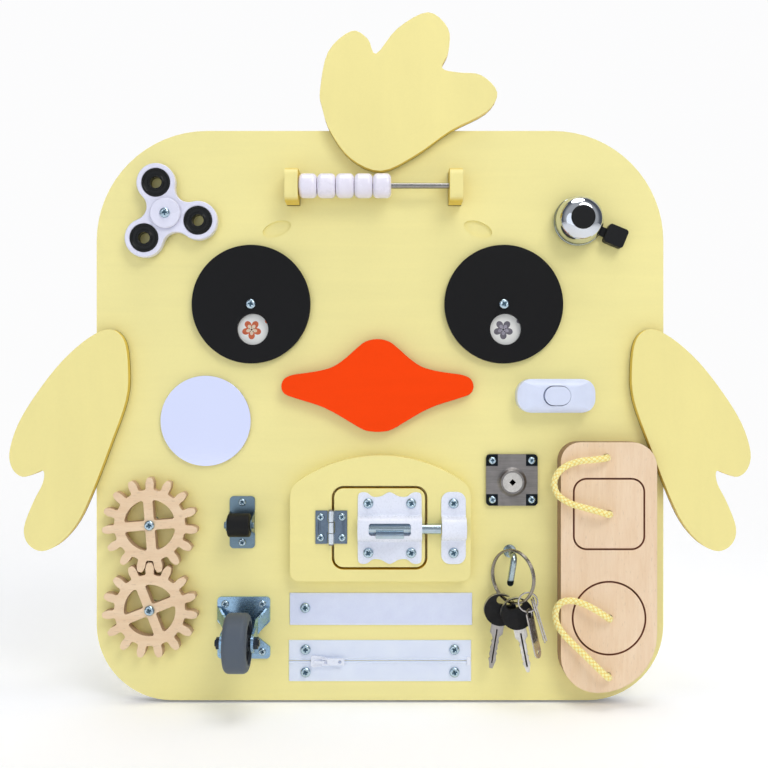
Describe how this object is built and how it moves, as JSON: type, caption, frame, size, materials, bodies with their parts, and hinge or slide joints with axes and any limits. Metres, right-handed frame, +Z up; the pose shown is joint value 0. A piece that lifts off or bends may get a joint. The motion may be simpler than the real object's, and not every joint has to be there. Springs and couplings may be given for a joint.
{
  "type": "busy board",
  "caption": "Wall-hung wooden busy board in the shape of a chick, with turning eyes, gears, door and bolt, spinner, bell, lock, keys, rollers, zipper and shape sorter.",
  "frame": {"origin": "centre of the base board's back face, which lies on the wall", "axes": "+X to the viewer's right, +Z up, the front with the fittings looks along -Y"},
  "size_m": [0.5724, 0.068, 0.5335],
  "materials": {
    "board_paint": "satin pale yellow paint",
    "trim_paint": "satin pale yellow paint",
    "beak_paint": "satin orange paint",
    "eye_paint": "satin black paint",
    "picture_card": "printed card",
    "mirror": "polished",
    "bead_plastic": "gloss",
    "white_plastic": "semi gloss",
    "black_plastic": "satin",
    "key_plastic": "satin",
    "bright_steel": "drawn",
    "zinc_steel": "zinc plated",
    "screw_steel": "zinc plated",
    "chrome": "polished",
    "lock_metal": "brushed",
    "white_metal": "gloss powder coat",
    "loop_tape": "looped nylon",
    "zipper_tape": "woven polyester",
    "bare_wood": "bare birch",
    "wheel_core": "moulded",
    "grey_rubber": "moulded rubber",
    "rope": "braided cord"
  },
  "bodies": {
    "root": {"board": "board_paint", "tuft": "trim_paint", "wings": "trim_paint", "beak": "beak_paint", "mirror_disc": "mirror", "abacus_posts": "trim_paint", "abacus_rod": "bright_steel", "eye_cards": "picture_card", "spinner_cap": "white_plastic", "spinner_bearing": "bright_steel", "bell_base": "black_plastic", "bell_dome": "chrome", "bell_cap": "black_plastic", "switch_housing": "white_plastic", "lock_body": "lock_metal", "door_panel": "trim_paint", "hinge_frame_leaf": "zinc_steel", "hinge_pin": "bright_steel", "keeper": "white_metal", "loop_strip": "loop_tape", "zipper_tapes": "zipper_tape", "roller_bracket": "zinc_steel", "caster_fork": "zinc_steel", "caster_axle": "bright_steel", "key_hook": "bright_steel", "sorter_panel": "bare_wood", "hanger_plates": "zinc_steel", "board_screws": "screw_steel"},
    "bead_1": {"bead_1": "bead_plastic"},
    "bead_2": {"bead_2": "bead_plastic"},
    "bead_3": {"bead_3": "bead_plastic"},
    "bead_4": {"bead_4": "bead_plastic"},
    "bead_5": {"bead_5": "bead_plastic"},
    "left_eye": {"left_eye_disc": "eye_paint"},
    "right_eye": {"right_eye_disc": "eye_paint"},
    "spinner": {"spinner_body": "white_plastic", "spinner_weights": "black_plastic"},
    "bell_lever": {"bell_lever": "black_plastic"},
    "switch_rocker": {"switch_rocker": "white_plastic"},
    "lock_plug": {"lock_plug": "lock_metal"},
    "door": {"door_leaf": "trim_paint", "hinge_door_leaf": "zinc_steel", "bolt_housing": "white_metal", "door_screws": "screw_steel"},
    "bolt": {"bolt_rod": "bright_steel"},
    "zipper_slider": {"zipper_slider": "zipper_tape"},
    "zipper_pull": {"zipper_pull": "zipper_tape"},
    "upper_gear": {"upper_gear": "bare_wood"},
    "lower_gear": {"lower_gear": "bare_wood"},
    "roller_wheel": {"roller_wheel": "black_plastic"},
    "caster_wheel": {"caster_wheel": "wheel_core", "caster_tyre": "grey_rubber"},
    "key_ring": {"key_ring": "bright_steel"},
    "back_key": {"back_key": "key_plastic"},
    "front_key": {"front_key": "key_plastic"},
    "flat_keys": {"flat_keys": "bright_steel"},
    "square_shape": {"square_shape": "bare_wood", "upper_rope": "rope"},
    "circle_shape": {"circle_shape": "bare_wood", "lower_rope": "rope"}
  },
  "joints": [
    {"name": "bead_1_slide", "type": "slide", "parent": "root", "child": "bead_1", "axis": [1, 0, 0], "range_m": [0, 0.044]},
    {"name": "bead_2_slide", "type": "slide", "parent": "root", "child": "bead_2", "axis": [1, 0, 0], "range_m": [0, 0.044]},
    {"name": "bead_3_slide", "type": "slide", "parent": "root", "child": "bead_3", "axis": [1, 0, 0], "range_m": [0, 0.044]},
    {"name": "bead_4_slide", "type": "slide", "parent": "root", "child": "bead_4", "axis": [1, 0, 0], "range_m": [0, 0.044]},
    {"name": "bead_5_slide", "type": "slide", "parent": "root", "child": "bead_5", "axis": [1, 0, 0], "range_m": [0, 0.044]},
    {"name": "left_eye_turn", "type": "hinge", "parent": "root", "child": "left_eye", "pos_m": [-0.1, -0.0153, 0.0865], "axis": [0, -1, 0], "continuous": true},
    {"name": "right_eye_turn", "type": "hinge", "parent": "root", "child": "right_eye", "pos_m": [0.096, -0.0153, 0.0865], "axis": [0, -1, 0], "continuous": true},
    {"name": "spinner_spin", "type": "hinge", "parent": "root", "child": "spinner", "pos_m": [-0.165, -0.018, 0.156], "axis": [0, -1, 0], "continuous": true},
    {"name": "bell_lever_press", "type": "hinge", "parent": "root", "child": "bell_lever", "pos_m": [0.16356, -0.0155, 0.14649], "axis": [0, -1, 0], "range_deg": [-14, 0], "stiffness_Nm_per_rad": 0.02},
    {"name": "switch_rock", "type": "hinge", "parent": "root", "child": "switch_rocker", "pos_m": [0.1355, -0.024, 0.0155], "axis": [0, 0, 1], "range_deg": [-12, 0]},
    {"name": "lock_turn", "type": "hinge", "parent": "root", "child": "lock_plug", "pos_m": [0.1025, -0.015, -0.0515], "axis": [0, -1, 0], "range_deg": [-90, 0]},
    {"name": "door_swing", "type": "hinge", "parent": "root", "child": "door", "pos_m": [-0.0374, -0.0245, -0.0854], "axis": [0, 0, -1], "range_deg": [0, 115]},
    {"name": "bolt_slide", "type": "slide", "parent": "door", "child": "bolt", "axis": [1, 0, 0], "range_m": [-0.0052, 0.0052]},
    {"name": "zipper_slide", "type": "slide", "parent": "root", "child": "zipper_slider", "axis": [1, 0, 0], "range_m": [-0.012, 0.105]},
    {"name": "zipper_pull_lift", "type": "hinge", "parent": "zipper_slider", "child": "zipper_pull", "pos_m": [-0.0447, -0.0159, -0.191], "axis": [0, 0, -1], "range_deg": [0, 80]},
    {"name": "upper_gear_turn", "type": "hinge", "parent": "root", "child": "upper_gear", "pos_m": [-0.177, -0.019, -0.084], "axis": [0, -1, 0], "continuous": true},
    {"name": "lower_gear_turn", "type": "hinge", "parent": "root", "child": "lower_gear", "pos_m": [-0.177, -0.019, -0.1494], "axis": [0, -1, 0], "continuous": true},
    {"name": "roller_turn", "type": "hinge", "parent": "root", "child": "roller_wheel", "pos_m": [-0.1072, -0.0285, -0.083], "axis": [1, 0, 0], "continuous": true},
    {"name": "caster_turn", "type": "hinge", "parent": "root", "child": "caster_wheel", "pos_m": [-0.106, -0.046, -0.168], "axis": [1, 0, 0], "continuous": true},
    {"name": "key_ring_swing", "type": "hinge", "parent": "root", "child": "key_ring", "pos_m": [0.101, -0.0305, -0.1055], "axis": [0, -1, 0], "range_deg": [-15, 15]},
    {"name": "back_key_swing", "type": "hinge", "parent": "key_ring", "child": "back_key", "pos_m": [0.09837, -0.0255, -0.14151], "axis": [0, -1, 0], "range_deg": [-6, 6]},
    {"name": "front_key_swing", "type": "hinge", "parent": "key_ring", "child": "front_key", "pos_m": [0.09907, -0.0315, -0.1429], "axis": [0, -1, 0], "range_deg": [-6, 6]},
    {"name": "flat_key_swing", "type": "hinge", "parent": "key_ring", "child": "flat_keys", "pos_m": [0.11102, -0.0406, -0.13907], "axis": [0, -1, 0], "range_deg": [-6, 6]},
    {"name": "square_lift", "type": "slide", "parent": "root", "child": "square_shape", "axis": [0, -1, 0], "range_m": [0, 0.02]},
    {"name": "circle_lift", "type": "slide", "parent": "root", "child": "circle_shape", "axis": [0, -1, 0], "range_m": [0, 0.02]}
  ],
  "couplings": [
    {"joint": "bead_1_slide", "follows": "bead_5_slide", "ratio": 1},
    {"joint": "bead_2_slide", "follows": "bead_5_slide", "ratio": 1},
    {"joint": "bead_3_slide", "follows": "bead_5_slide", "ratio": 1},
    {"joint": "bead_4_slide", "follows": "bead_5_slide", "ratio": 1},
    {"joint": "lower_gear_turn", "follows": "upper_gear_turn", "ratio": -1}
  ]
}
